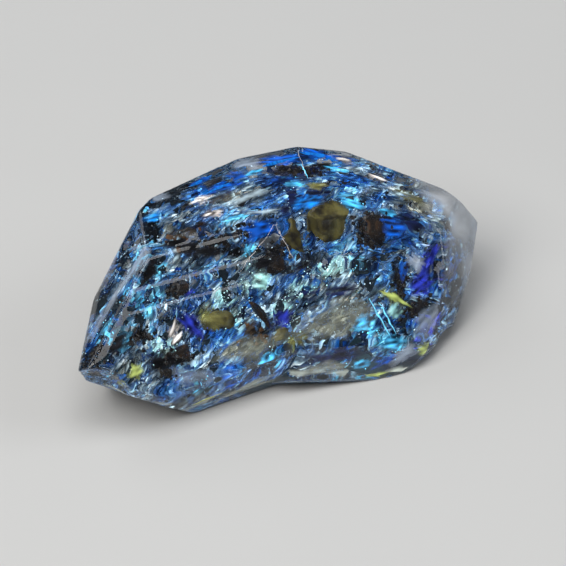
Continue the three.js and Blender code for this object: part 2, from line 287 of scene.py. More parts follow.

# Smooth films and milky veils, among them painted shade, a painted sheen and painted light on the lower
# rim:
# the tint, the pixel in the middle, half the length and width in pixels, the rise to the right in degrees,
# how much of what lies behind is covered, and the depth below the skin.
Film = namedtuple("Film", "family middle reach rise cover depth")
FILM_RINGS = 12
FILM_SPOKES = 40
FILM_BEND = 0.12
FILM_RAGGED = 0.55
FILM_EDGE_WAVES = (1.3, 4)
FILM_FINE_EDGE = 0.7
FILM_STREAKS = 0.6
FILM_STREAK_WAVES = (0.8, 5)
FILM_FULL = 1.25
FILM_LEAN = 0.25
FILM_DEPTH = 0.12
FILM_GRAIN = 0.16
FILM_SHADE = 0.75
FILM_DARKEST = 0.1
FILMS = [Film(*row) for row in (
    ("smoke", (245, 192), (75, 17), 24, 0.95, 1.9),
    ("smoke", (330, 178), (75, 15), -10, 0.95, 1.9),
    ("navy", (290, 195), (60, 14), 5, 0.9, 1.4),
    ("smoke", (405, 205), (40, 14), -28, 0.8, 1.5),
    ("smoke", (362, 169), (28, 9), -18, 0.9, 0.9),
    ("milk", (158, 197), (16, 6), 20, 0.55, 0.4),
    ("cobalt", (201, 181), (14, 4), 30, 0.95, 0.35),
    ("smoke", (217, 181), (14, 7), 28, 0.85, 0.7),
    ("cobalt", (222, 187), (15, 5), 28, 0.8, 0.5),
    ("milk", (246, 164), (16, 10), 25, 0.75, 0.35),
    ("cobalt", (237, 176), (10, 12), 20, 0.85, 0.5),
    ("azure", (254, 173), (11, 5), 20, 0.75, 0.4),
    ("cobalt", (280, 160), (30, 8), 10, 0.95, 0.45),
    ("smoke", (285, 170), (15, 7), 5, 0.95, 0.6),
    ("cobalt", (322, 155), (30, 7), -8, 0.95, 0.4),
    ("navy", (300, 172), (44, 9), 0, 0.85, 0.8),
    ("smoke", (321, 166), (14, 7), -3, 0.95, 0.6),
    ("azure", (339, 170), (14, 4), -5, 0.9, 0.35),
    ("cobalt", (281, 181), (12, 7), 0, 0.8, 0.6),
    ("azure", (294, 184), (10, 5), 5, 0.85, 0.4),
    ("moss", (316, 186), (13, 6), 8, 0.7, 0.4),
    ("bright_cobalt", (307, 203), (20, 10), 28, 0.9, 0.5),
    ("navy", (285, 210), (9, 11), 60, 0.8, 0.6),
    ("silver", (248, 196), (30, 7), 31, 0.5, 0.4),
    ("umber", (222, 198), (20, 8), 25, 0.55, 0.7),
    ("azure", (234, 217), (16, 5), 15, 0.6, 0.4),
    ("silver", (262, 212), (18, 5), 10, 0.55, 0.4),
    ("cobalt", (260, 226), (18, 9), 15, 0.9, 0.6),
    ("bright_cobalt", (154, 217), (12, 7), 15, 0.75, 0.4),
    ("umber", (187, 235), (22, 9), 20, 0.6, 0.6),
    ("smoke", (189, 250), (17, 7), 10, 0.85, 0.7),
    ("azure", (351, 206), (13, 6), -18, 0.85, 0.4),
    ("navy", (412, 222), (20, 16), 0, 0.85, 0.8),
    ("cobalt", (392, 226), (12, 12), 0, 0.8, 0.6),
    ("milk", (432, 197), (26, 8), -32, 0.4, 0.35),
    ("moss", (408, 196), (20, 7), -25, 0.4, 0.4),
    ("azure", (388, 214), (9, 4), -10, 0.8, 0.4),
    ("milk", (415, 262), (10, 13), 70, 0.6, 0.5),
    ("ultramarine", (428, 262), (22, 7), 62, 0.9, 0.4),
    ("ultramarine", (420, 285), (13, 12), 40, 0.9, 0.6),
    ("smoke", (440, 268), (17, 6), 80, 0.8, 0.8),
    ("smoke", (396, 277), (18, 6), 80, 0.8, 0.7),
    ("cobalt", (403, 272), (13, 5), 80, 0.7, 0.5),
    ("lime", (395, 298), (16, 4), -28, 0.85, 0.35),
    ("teal", (394, 311), (8, 9), 60, 0.6, 0.4),
    ("beige", (352, 312), (36, 22), 25, 0.4, 0.5),
    ("beige", (318, 326), (32, 20), 15, 0.36, 0.6),
    ("azure", (362, 323), (10, 9), 30, 0.6, 0.4),
    ("milk", (428, 318), (24, 12), 40, 0.45, 0.6),
    ("ultramarine", (434, 325), (15, 6), 62, 0.8, 0.4),
    ("lime", (425, 349), (9, 8), 10, 0.6, 0.3),
    ("milk", (406, 354), (18, 9), 25, 0.5, 0.3),
    ("azure", (391, 344), (16, 10), 5, 0.8, 0.4),
    ("azure", (362, 364), (11, 6), 15, 0.8, 0.35),
    ("navy", (340, 351), (12, 9), 0, 0.7, 0.5),
    ("lime", (380, 374), (18, 3), 2, 0.8, 0.25),
    ("beige", (330, 366), (30, 7), 8, 0.5, 0.3),
    ("beige", (250, 350), (40, 16), 12, 0.36, 0.45),
    ("beige", (245, 388), (40, 8), 17, 0.6, 0.3),
    ("cobalt", (232, 385), (13, 6), 5, 0.6, 0.4),
    ("azure", (269, 358), (12, 5), 28, 0.8, 0.4),
    ("cobalt", (231, 371), (12, 6), 10, 0.6, 0.4),
    ("milk", (112, 300), (56, 11), 62, 0.55, 0.3),
    ("milk", (138, 262), (34, 8), 65, 0.5, 0.3),
    ("smoke", (147, 276), (16, 8), 60, 0.8, 0.8),
    ("ultramarine", (191, 324), (17, 8), -42, 0.95, 0.4),
    ("blush", (173, 330), (10, 3), 70, 0.85, 0.35),
    ("blush", (178, 337), (9, 3), 50, 0.8, 0.3),
    ("moss", (211, 321), (15, 11), 0, 0.5, 0.5),
    ("moss", (297, 340), (12, 9), 20, 0.55, 0.5),
    ("ultramarine", (285, 318), (12, 9), 50, 0.7, 0.5),
    ("umber", (252, 333), (11, 10), 30, 0.7, 0.5),
    ("teal", (260, 279), (10, 11), 0, 0.7, 0.4),
    ("milk", (195, 375), (30, 10), -8, 0.4, 0.5),
    ("lime", (136, 370), (8, 7), 40, 0.7, 0.35),
    ("smoke", (94, 374), (10, 5), 0, 0.9, 0.4),
    ("smoke", (370, 232), (22, 24), 0, 0.95, 2.0),
    ("smoke", (176, 242), (20, 6), 12, 0.9, 0.6),
    ("smoke", (150, 270), (8, 18), -25, 0.9, 0.7),
    ("smoke", (206, 252), (20, 7), 15, 0.85, 0.8),
    ("smoke", (262, 258), (18, 10), 30, 0.85, 0.7),
    ("navy", (330, 292), (46, 8), 8, 0.75, 0.6),
    ("smoke", (300, 268), (30, 8), 20, 0.6, 0.9),
    ("smoke", (120, 345), (26, 12), 40, 0.75, 0.9),
    ("smoke", (165, 362), (30, 12), 0, 0.75, 0.9),
    ("navy", (330, 358), (36, 8), 8, 0.8, 0.6),
    ("navy", (400, 362), (24, 8), 25, 0.7, 0.5),
    ("smoke", (417, 309), (18, 6), 44, 0.95, 0.5),
    ("smoke", (448, 226), (12, 6), 12, 0.9, 0.3),
    ("rim", (122, 392), (26, 3), -17, 0.5, 0.25),
    ("rim", (165, 404), (22, 3), -12, 0.5, 0.25),
    ("rim", (212, 399), (28, 6), 17, 0.75, 0.25),
    ("rim", (255, 384), (26, 6), 22, 0.7, 0.25),
    ("rim", (300, 373), (26, 5), 5, 0.6, 0.25),
    ("rim", (345, 373), (26, 5), 0, 0.6, 0.25),
    ("rim", (396, 372), (24, 5), 12, 0.7, 0.25),
    ("cobalt", (385, 361), (18, 5), 20, 0.8, 0.4),
    ("blush", (344, 160), (8, 4), -20, 0.95, 0.3),
    ("blush", (377, 177), (9, 4), -22, 0.9, 0.3),
    ("blush", (198, 200), (10, 3), 40, 0.8, 0.35),
    ("blush", (204, 197), (7, 3), 10, 0.7, 0.3),
    ("blush", (212, 213), (12, 3), 28, 0.85, 0.35),
)]

# Each film's tint, its painted glow and how uneven it is.
FILM_TINTS = {
    "milk": ((0.38, 0.46, 0.58), (0, 0, 0), 0.5),
    # A painted sheen: a pale tint in place of the light that a thin crack reflects.
    "silver": ((0.48, 0.62, 0.7), (0, 0, 0), 1.0),
    "cobalt": ((0.002, 0.07, 0.4), (0, 0.025, 0.14), 1.5),
    "bright_cobalt": ((0.006, 0.17, 0.58), (0, 0.07, 0.24), 1.5),
    "azure": ((0.06, 0.4, 0.78), (0.03, 0.2, 0.3), 1.7),
    "ultramarine": ((0.015, 0.025, 0.26), (0.004, 0.008, 0.08), 1.5),
    "navy": ((0.006, 0.012, 0.05), (0, 0, 0.006), 1.5),
    "teal": ((0.4, 0.8, 0.75), (0.05, 0.12, 0.12), 1.7),
    "beige": ((0.36, 0.38, 0.31), (0.01, 0.011, 0.008), 0.5),
    # The rim films are pale, and their glow is painted light that brightens the shaded lower rim.
    "rim": ((0.5, 0.55, 0.49), (0.06, 0.07, 0.06), 0.6),
    "moss": ((0.22, 0.21, 0.065), (0, 0, 0), 0.8),
    "lime": ((0.5, 0.6, 0.17), (0.06, 0.09, 0.02), 1.0),
    "umber": ((0.09, 0.07, 0.05), (0, 0, 0), 1.5),
    # Painted shade: near-black films where only shade shows through the crystal.
    "smoke": ((0.006, 0.006, 0.008), (0, 0, 0), 1.5),
    "blush": ((0.9, 0.82, 0.78), (0.1, 0.09, 0.08), 1.8),
}

# Broad zones of the sheets turn blue or brown.
HUE_SCALE = 0.8
HUE_OFFSET = Vector((3, 11, 5))
HUE_STRENGTH = 2.2
BLUE_LEAD = 0.4
BROWN_LAG = 0.3
BLUE_SHARE = (0.3, 0.85, 1.7)
BROWN_SHARE = (0.8, 0.62, 0.45)

# Loose drops, crumbs and glints.
Grain = namedtuple("Grain", "middle normal along width tint glow")
FLAKE_FORM = np.array([(0, 0, 1), (0, 0, -1), (1, 0, 0), (0, 1, 0), (-1, 0, 0), (0, -1, 0)])
FLAKE_FACES = [(0, 2, 3), (0, 3, 4), (0, 4, 5), (0, 5, 2), (1, 3, 2), (1, 4, 3), (1, 5, 4), (1, 2, 5)]
LOOSE_DEPTH = (0.3, 0.8)
LOOSE_SHADES = (0.4, 1.2)
LOOSE_TILT = 0.5
LOOSE_GLOW = 2
DROP_RADIUS = (0.014, 0.036)
DROP_ROUNDNESS = 2
DROP_THICKNESS = 0.6
DROP_RAGGED = (1, 1)
CRUMB_WIDTH = (0.06, 0.2)
CRUMB_THICKNESS = 0.35
CRUMB_RAGGED = (0.5, 1.4)
GLINTS = 2600
GLINT_WIDTH = (0.015, 0.05)
GLINT_DEPTH = 0.25
GLINT_TINT = (0.85, 0.93, 1.0)
GLINT_SHADES = (0.6, 1)
# A rare few glints carry a painted sparkle as glow.
GLINT_GLOW = (1.3, 1.8, 2.0)
GLINT_RARITY = 4

# Long films that show as lines: the family, both ends as pixels, the width and the depth below the skin.
Streak = namedtuple("Streak", "family start end width depth")
STREAKS = [Streak(*row) for row in (
    ("cobalt", (189, 187), (212, 175), 0.16, 0.3),
    ("cobalt", (205, 195), (230, 183), 0.2, 0.3),
    ("cobalt", (262, 166), (300, 157), 0.2, 0.3),
    ("cobalt", (300, 152), (338, 158), 0.2, 0.3),
    ("azure", (301, 164), (308, 178), 0.07, 0.3),
    ("azure", (330, 169), (349, 171), 0.14, 0.3),
    ("azure", (369, 298), (391, 338), 0.08, 0.4),
    ("azure", (379, 302), (396, 334), 0.07, 0.4),
    ("azure", (221, 222), (250, 215), 0.09, 0.4),
    ("gold", (192, 405), (222, 393), 0.12, 0.3),
    ("gold", (364, 375), (396, 374), 0.12, 0.3),
    ("gold", (380, 291), (408, 304), 0.16, 0.4),
    ("blush", (275, 224), (295, 262), 0.022, 0.4),
    ("blush", (277, 222), (240, 272), 0.022, 0.4),
    ("blush", (297, 148), (306, 176), 0.022, 0.3),
    ("ultramarine", (426, 268), (437, 244), 0.22, 0.4),
    ("ultramarine", (428, 334), (441, 312), 0.16, 0.4),
)]
STREAK_STEPS = 26
STREAK_SIDES = 4
STREAK_WAVE = 0.06
STREAK_WAVES = 6
STREAK_TAPER = 0.06
STREAK_UNEVEN = 0.6
STREAK_THICKNESS = 0.5
STREAK_SHADES = (0.5, 1.3)
STREAK_GLOW = 1.6

# Materials: tints, the fineness of their noises to a metre, and gloss. The mottled ones go from one tint to
# the next at these values of the noise.
QUARTZ_TINT = (0.93, 0.96, 1, 1)
QUARTZ_DEPTH_TINT = (0.74, 0.82, 0.92, 1)
QUARTZ_DENSITY = 60
MILK_ROUGHNESS = 0.5
SMUDGE_ROUGHNESS = 0.05
SMUDGE_SCALE = 900
GLOSS_SCALE = 3000
FILM_SHINE = 0.05
COAT = 0.3
OIL_TINTS = [(0.36, (0.012, 0.009, 0.004)), (0.5, (0.055, 0.046, 0.013)), (0.66, (0.16, 0.14, 0.04))]
BITUMEN_TINTS = [(0.35, (0.004, 0.003, 0.003)), (0.55, (0.016, 0.011, 0.008)), (0.75, (0.07, 0.035, 0.015))]
FLOOR_TINTS = [(0.3, (0.66, 0.66, 0.65)), (0.7, (0.7, 0.7, 0.69))]
FLOOR_SCALE = 12
FLOOR_ROUGHNESS = 0.7

# A face's corners in its cell of the bake map.
CELL_CORNERS = np.array([(0.1, 0.1), (0.9, 0.1), (0.1, 0.9)])

# Floor and lamps. A lamp's inside is how many times as strong it is on what lies in the crystal.
FLOOR_SIDE = 4000
Lamp = namedtuple("Lamp", "name azimuth elevation distance width height watts inside colour")
LAMPS = [
    Lamp("key_light", -75, 50, 300, 180, 180, 0.5, 2.5, (1, 0.98, 0.95)),
    Lamp("fill_light", 70, 30, 320, 160, 220, 0.25, 0.6, (0.92, 0.96, 1)),
    Lamp("back_light", 206, 38, 320, 240, 160, 0.16, 1.2, (0.95, 0.97, 1)),
    Lamp("top_light", 0, 88, 340, 240, 240, 0.45, 0.8, (1, 1, 1)),
]
WORLD_TINT = (0.03, 0.034, 0.042, 1)

SEED = 29
NOISE_SPAN = 50


# Vectors and rays

def unit_rows(rows):
    return rows / np.linalg.norm(rows, axis=1, keepdims=True)


def sky_direction(azimuth, elevation):
    a, e = math.radians(azimuth), math.radians(elevation)
    return Vector((math.sin(a) * math.cos(e), -math.cos(a) * math.cos(e), math.sin(e)))


def refracted(ray, normal, ratio):
    """The ray's direction past a surface, where ratio is the index before it over the index behind it."""
    cosine = -ray.dot(normal)
    inner = math.sqrt(1 - ratio * ratio * (1 - cosine * cosine))
    return (ratio * ray + (ratio * cosine - inner) * normal).normalized()


CAMERA_BACK = sky_direction(CAMERA_AZIMUTH, CAMERA_ELEVATION)
CAMERA_PLACE = CAMERA_AIM + CAMERA_DISTANCE * CAMERA_BACK
CAMERA_RIGHT = UPWARD.cross(CAMERA_BACK).normalized()
CAMERA_UP = CAMERA_BACK.cross(CAMERA_RIGHT)


def pixel_ray(pixel):
    across = (pixel[0] / PHOTO_SIDE - 0.5) * VIEW_WIDTH
    down = (pixel[1] / PHOTO_SIDE - 0.5) * VIEW_WIDTH
    return (CAMERA_AIM + across * CAMERA_RIGHT - down * CAMERA_UP - CAMERA_PLACE).normalized()


# The clear crystal as one closed mesh

def connected_parts(faces):
    """The faces in groups that hang together by their edges, the largest last."""
    left = set(faces)
    groups = []
    while left:
        front = [left.pop()]
        group = list(front)
        while front:
            around = {n for e in front.pop().edges for n in e.link_faces} & left
            left -= around
            group.extend(around)
            front.extend(around)
        groups.append(group)
    return sorted(groups, key=len)


def node_form(node):
    """A solid's mesh in millimetres."""
    form = bmesh.new()
    form.from_mesh(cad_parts[node].data)
    bmesh.ops.scale(form, vec=(1 / MM,) * 3, verts=form.verts)
    return form


def outer_shell(node, side):
    """A half's outside: its parting face is taken away, and with it the pockets that open there."""
    shell = node_form(node)
    bmesh.ops.remove_doubles(shell, verts=shell.verts, dist=SAME_POINT)
    heights = {v: side * CRACK_OUT.dot(v.co) for v in shell.verts}
    top = max(heights.values())
    parting = [f for f in shell.faces if all(top - heights[v] < ON_PLANE for v in f.verts)]
    bmesh.ops.delete(shell, geom=parting, context="FACES")
    for pocket in connected_parts(shell.faces)[:-1]:
        bmesh.ops.delete(shell, geom=pocket, context="FACES")
    return shell


def open_rim(shell):
    """The corners round the shell's opening, in the order of its faces."""
    after = {}
    for edge in shell.edges:
        if len(edge.link_faces) == 1:
            loop = edge.link_loops[0]
            after[loop.vert] = loop.link_loop_next.vert
    rim = [next(iter(after))]
    while after[rim[-1]] is not rim[0]:
        rim.append(after[rim[-1]])
    return [v.co.copy() for v in rim]


def close_crack(whole, near, far):
    """Triangles between the two rims: each step goes on along the rim that keeps the new edge short."""
    start = min(range(len(far)), key=lambda k: (far[k] - near[0]).length)
    far = far[start:] + far[:start]
    near_corners = [whole.verts.new(c) for c in near]
    far_corners = [whole.verts.new(c) for c in far]
    near_corners.append(near_corners[0])
    far_corners.append(far_corners[0])
    i = j = 0
    while i + 1 < len(near_corners) or j + 1 < len(far_corners):
        a, b = near_corners[i], far_corners[j]
        next_a = near_corners[i + 1] if i + 1 < len(near_corners) else None
        next_b = far_corners[j + 1] if j + 1 < len(far_corners) else None
        if next_b is None or (next_a and (next_a.co - b.co).length < (a.co - next_b.co).length):
            whole.faces.new((next_a, a, b))
            i += 1
        else:
            whole.faces.new((b, next_b, a))
            j += 1


def whole_crystal():
    shells = [outer_shell(node, side) for node, side in zip(HALVES, (1, -1))]
    whole = bmesh.new()
    for shell in shells:
        part = bpy.data.meshes.new("shell")
        shell.to_mesh(part)
        whole.from_mesh(part)
        bpy.data.meshes.remove(part)
    close_crack(whole, open_rim(shells[0]), open_rim(shells[1])[::-1])
    bmesh.ops.remove_doubles(whole, verts=whole.verts, dist=SAME_POINT)
    bmesh.ops.recalc_face_normals(whole, faces=whole.faces)
    return whole


def evenly_meshed(whole):
    """The crystal's mesh with small even faces, which can carry the fine relief, and with worn edges."""
    rough = bpy.data.meshes.new("rough")
    whole.to_mesh(rough)
    holder = bpy.data.objects.new("rough", rough)
    bpy.context.scene.collection.objects.link(holder)
    remesh = holder.modifiers.new("even", "REMESH")
    remesh.mode = "VOXEL"
    remesh.voxel_size = SURFACE_GRAIN
    remesh.use_smooth_shade = True
    wear = holder.modifiers.new("wear", "SMOOTH")
    wear.factor = WEAR_STRENGTH
    wear.iterations = WEAR_ROUNDS
    depsgraph = bpy.context.evaluated_depsgraph_get()
    even = bpy.data.meshes.new_from_object(holder.evaluated_get(depsgraph))
    bpy.data.objects.remove(holder)
    bpy.data.meshes.remove(rough)
    return even


def read_points(vertices, name):
    flat = np.empty(3 * len(vertices))
    vertices.foreach_get(name, flat)
    return flat.reshape(-1, 3)


def skin_milk(places):
    """How milky the skin is at each vertex."""
    blotch = np.array([noise.noise(Vector(p) / MILK_SCALE) for p in places])
    uneven = MILK_BLOTCHES[0] + MILK_BLOTCHES[1] * blotch
    at_end = np.interp(places[:, 0] + END_FRAY * blotch, MILKY_END, (0, 1)) * MILK_AT_END * uneven
    at_foot = np.interp(places[:, 2] + FOOT_FRAY * blotch, MILKY_FOOT, (1, 0)) * MILK_AT_FOOT * uneven
    return np.maximum.reduce([at_end, at_foot, MILK_ALL_OVER * (1 + blotch)]).clip(0, 1)


def skin_relief(mesh, rng):
    """Moves the skin by its growth stripes, slow swells and small dimples, and notes its milkiness."""
    places = read_points(mesh.vertices, "co")
    normals = read_points(mesh.vertices, "normal")
    lift = np.empty(len(places))
    for k, place in enumerate(places):
        at = Vector(place)
        swell = noise.noise(at / SWELL_SCALE)
        bands = noise.noise(at / SWELL_SCALE + BAND_OFFSET)
        stripe = math.sin(2 * math.pi * (at.dot(STRIPE_ACROSS) + STRIPE_WANDER * swell) / STRIPE_SPACING)
        lift[k] = SWELL_HEIGHT * swell + STRIPE_HEIGHT * stripe * max(0, bands)
    for middle in places[rng.integers(len(places), size=DIMPLES)]:
        radius = rng.uniform(*DIMPLE_RADIUS)
        away = np.linalg.norm(places - middle, axis=1) / radius
        lift -= DIMPLE_DEPTH * radius * np.clip(1 - away * away, 0, 1) ** 2
    moved = places + normals * lift[:, None]
    low, high = places.min(0), places.max(0)
    mesh.vertices.foreach_set("co", np.clip(moved, low, high).ravel() * MM)
    milk = mesh.attributes.new("milk", "FLOAT", "POINT")
    milk.data.foreach_set("value", skin_milk(places))
    mesh.update()


rng = np.random.default_rng(SEED)
crystal_form = whole_crystal()
crystal_tree = BVHTree.FromBMesh(crystal_form)
crystal_mesh = evenly_meshed(crystal_form)
skin_relief(crystal_mesh, rng)


# Places inside the crystal

SEALED = sorted(set(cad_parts) - set(HALVES))
sealed_trees = [BVHTree.FromBMesh(node_form(node)) for node in SEALED]
crystal_middle = (cad_box[0] + cad_box[1]) / 2 / MM


def depth_inside(point):
    """The distance from a point in the crystal to its skin, or zero for a point outside."""
    above, normal, _, _ = crystal_tree.ray_cast(point, UPWARD)
    if above is None or normal.z < 0:
        return 0
    return crystal_tree.find_nearest(point)[3]


def hides_sealed(point):
    """Whether the point lies in or before an oil pocket or a bitumen grain, seen through the front face."""
    return any(tree.ray_cast(point, -CRACK_OUT)[0] for tree in sealed_trees)


def seen_inside(pixel, depth):
    """The point that shows at a pixel, so deep below the skin on the bent line of sight, and that line."""
    ray = pixel_ray(pixel)
    place, normal, _, _ = crystal_tree.ray_cast(CAMERA_PLACE, ray)
    if place is None:
        return None, None
    inward = refracted(ray, normal, 1 / QUARTZ_IOR)
    return place + depth * inward, inward


def random_direction(rng):
    return Vector(rng.normal(size=3)).normalized()


def noise_offset(rng):
    return Vector(rng.uniform(0, NOISE_SPAN, size=3))


def random_inside(rng, depth):
    low, high = (Vector(corner) / MM for corner in cad_box)
    point = Vector(rng.uniform(low, high))
    while depth_inside(point) < depth:
        point = Vector(rng.uniform(low, high))
    return point


def image_axis(rise):
    """A direction in the picture, level for a rise of zero, as pixel steps and as a direction in space."""
    turn = math.radians(rise)
    step = np.array((math.cos(turn), -math.sin(turn)))
    return step, CAMERA_RIGHT * math.cos(turn) + CAMERA_UP * math.sin(turn)


def cloud_points(cloud, count, rng):
    """Points scattered in a cloud, each with the bent line of sight that reaches it."""
    along, _ = image_axis(cloud.rise)
    across = np.array((-along[1], along[0]))
    found = []
    for _ in range(count):
        u, v = rng.normal(size=2) * CLOUD_SPREAD * np.array(cloud.reach)
        pixel = np.array(cloud.middle) + u * along + v * across
        point, inward = seen_inside(pixel.tolist(), rng.uniform(*LOOSE_DEPTH))
        if point is not None:
            found.append((point, inward))
    return found


# Meshes that carry a tint and a glow at each corner

def coloured_mesh(name, places, faces, tint, glow):
    """A mesh of triangles, in which each face has its own cell of the bake map."""
    mesh = bpy.data.meshes.new(name)
    mesh.from_pydata((places * MM).tolist(), [], faces.tolist())
    for label, colours in (("tint", tint), ("glow", glow)):
        field = mesh.attributes.new(label, "FLOAT_COLOR", "POINT")
        field.data.foreach_set("color", np.c_[colours, np.ones(len(colours))].ravel())
    cells = math.ceil(math.sqrt(len(faces)))
    origins = np.stack(np.divmod(np.arange(len(faces)), cells), 1)
    corners = (origins[:, None] + CELL_CORNERS) / cells
    bake_map = mesh.uv_layers.new(name="OFBake")
    bake_map.uv.foreach_set("vector", corners.astype(np.float32).ravel())
    mesh.update()
    return mesh


def copied(form, faces, count):
    """The faces of so many copies of one form, whose corners follow each other copy by copy."""
    return (np.arange(count)[:, None, None] * len(form) + np.array(faces)).reshape(-1, 3)


# Crumpled sheets

MAIN_FLOW = image_axis(FLOW_RISE)[1]


def flow_noise(point, flow, scale):
    """Noise drawn out along the flow."""
    return noise.noise((point - FLOW_STRETCH * point.dot(flow) * flow) / scale)


def sheet_triangles(middle, normal, flow, radius, holes, rng):
    """One healed crack: the corners of the small splinters of a bent, crumpled and ragged sheet."""
    side = (flow - flow.dot(normal) * normal).normalized()
    other = normal.cross(side)
    long_grid, short_grid = (np.arange(-radius, radius, step) for step in SHEET_STEPS)
    size = (len(long_grid), len(short_grid))
    jitter = rng.uniform(-SHEET_JITTER, SHEET_JITTER, size=(*size, 3)) * (*SHEET_STEPS, 0)
    jitter[:, :, 2] = rng.normal(size=size) * SHEET_CRUMPLE
    offset = noise_offset(rng)
    points = np.full(jitter.shape, np.nan)
    for i, u in enumerate(long_grid.tolist()):
        for j, v in enumerate(short_grid.tolist()):
            flat = Vector((u, v, 0)) + offset
            ragged = noise.noise(flat / HOLE_SCALE) + FINE_HOLES * noise.noise(flat / HOLE_SCALE * FINER_BY)
            if u * u + v * v > radius * radius * (1 + EDGE_RAGGED * ragged) or ragged < holes:
                continue
            bend = SHEET_BEND * noise.noise(flat / SHEET_BEND_SCALE)
            du, dv, dn = jitter[i, j].tolist()
            point = middle + (u + du) * side + (v + dv) * other + (bend + dn) * normal
            point += FOLD_HEIGHT * flow_noise(point, flow, FOLD_SCALE) * normal
            if point.x < CLEAR_END and depth_inside(point) > SHEET_DEPTH and not hides_sealed(point):
                points[i, j] = point
    a, b, c, d = points[:-1, :-1], points[1:, :-1], points[1:, 1:], points[:-1, 1:]
    corners = np.concatenate([np.stack(t, 2).reshape(-1, 3, 3) for t in ((a, b, c), (a, c, d))])
    return corners[np.isfinite(corners).all((1, 2))]


def crack_sheet(rng):
    """The sheet along the parting, and those below the faces that the photograph shows."""
    parting = max(CRACK_OUT.dot(v.co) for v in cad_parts[HALVES[0]].data.vertices) / MM
    middle = crystal_middle + (parting - CRACK_OUT.dot(crystal_middle)) * CRACK_OUT
    sheets = [sheet_triangles(middle, CRACK_OUT, MAIN_FLOW, CRACK_REACH, CRACK_HOLES, rng)]
    for veil in FRONT_VEILS:
        place, inward = seen_inside(veil.middle, veil.depth)
        normal = (veil.lean * random_direction(rng) - inward).normalized()
        flow = image_axis(veil.rise)[1]
        sheets.append(sheet_triangles(place, normal, flow, veil.radius, veil.holes, rng))
    return np.concatenate(sheets)


def veil_sheets(rng):
    sheets = []
    for _ in range(VEILS):
        middle = random_inside(rng, 2 * SHEET_DEPTH)
        radius = rng.uniform(*VEIL_RADIUS)
        flow = (MAIN_FLOW + VEIL_TURN * random_direction(rng)).normalized()
        sheets.append(sheet_triangles(middle, random_direction(rng), flow, radius, SHEET_HOLES, rng))
    return np.concatenate(sheets)


def cloud_shares(cloud, places):
    """How far each place lies in a cloud along the bent line of sight: 1 in its middle, 0 well outside."""
    origin, inward = seen_inside(cloud.middle, 0)
    if origin is None:
        return np.zeros(len(places))
    streak = image_axis(cloud.rise)[1]
    streak = (streak - streak.dot(inward) * inward).normalized()
    cross = inward.cross(streak)
    away = places - np.array(origin)
    half_length, half_width = (r * VIEW_WIDTH / PHOTO_SIDE for r in cloud.reach)
    deep = away @ np.array(inward)
    spread = (away @ np.array(streak) / half_length) ** 2 + (away @ np.array(cross) / half_width) ** 2
    return np.where((deep > 0) & (deep < CLOUD_DEPTH), np.exp(-spread), 0)


def sheet_colours(places, rng):
    """Tint and painted glow at each place: steely facets, the darkest painted shade and the brightest a
    painted sparkle, with the clouds' colours mixed in where they lie.
    """
    points = [Vector(place) for place in places]
    fine, broad = (np.array([flow_noise(p, MAIN_FLOW, grain) for p in points]) for grain in FACET_GRAINS)
    scatter = rng.normal(size=len(places)) * LEVEL_SCATTER
    level = np.clip(LEVEL_MIDDLE + LEVEL_FINE * fine + LEVEL_BROAD * broad + scatter, 0, 1)
    marks = np.linspace(0, 1, len(SHEET_TINTS))
    tint = np.stack([np.interp(level, marks, channel) for channel in SHEET_TINTS.T], 1)
    hue = HUE_STRENGTH * np.array([flow_noise(p + HUE_OFFSET, MAIN_FLOW, HUE_SCALE) for p in points])
    tint *= 1 + np.clip(hue + BLUE_LEAD, 0, 1)[:, None] * (np.array(BLUE_SHARE) - 1)
    tint *= 1 + np.clip(-hue - BROWN_LAG, 0, 1)[:, None] * (np.array(BROWN_SHARE) - 1)
    glow = np.clip(level - SPARKLE_FROM, 0, None)[:, None] * np.array(SPARKLE_GLOW)
    shade = LEAST_TINT + level[:, None]
    shine = np.clip(GLOW_RISE * level[:, None] - GLOW_START, 0, None)
    for cloud in CLOUDS:
        family = FAMILIES[cloud.family]
        inside = cloud_shares(cloud, places)
        frayed = inside + CLOUD_FRAY * fine + rng.normal(size=len(places)) * CLOUD_SCATTER
        share = np.clip((frayed - CLOUD_EDGE) / CLOUD_FADE, 0, 1) * (inside > CLOUD_LEAST)
        tint += share[:, None] * (np.array(family.tint) * shade - tint)
        glow += share[:, None] * (np.array(family.glow) * shine - glow)
    return tint.clip(0, 1), glow


def sheet_mesh(name, triangles, rng):
    places, index = np.unique(triangles.reshape(-1, 3).round(SAME_DIGITS), axis=0, return_inverse=True)
    return coloured_mesh(name, places, index.reshape(-1, 3), *sheet_colours(places, rng))


# Loose drops, crumbs and glints

def grain_mesh(name, grains, form, faces, flat, ragged, rng):
    """Copies of one small form at all the grains, each flattened along its normal and ragged."""
    middle = np.array([g.middle for g in grains])
    normal = unit_rows(np.array([g.normal for g in grains]))
    along = np.array([g.along for g in grains])
    along = unit_rows(along - (along * normal).sum(1, keepdims=True) * normal)
    axes = np.stack([along, np.cross(normal, along), normal * flat], 1)
    width = np.array([g.width for g in grains])[:, None, None]
    reach = rng.uniform(*ragged, size=(len(grains), len(form), 1))
    places = middle[:, None] + width * reach * np.einsum("fk,gkx->gfx", form, axes)
    tint = np.repeat([g.tint for g in grains], len(form), 0)
    glow = np.repeat([g.glow for g in grains], len(form), 0)
    return coloured_mesh(name, places.reshape(-1, 3), copied(form, faces, len(grains)), tint, glow)


def ball_form():
    ball = bmesh.new()
    bmesh.ops.create_icosphere(ball, subdivisions=DROP_ROUNDNESS, radius=1)
    form = np.array([v.co for v in ball.verts])
    return form, [[v.index for v in f.verts] for f in ball.faces]


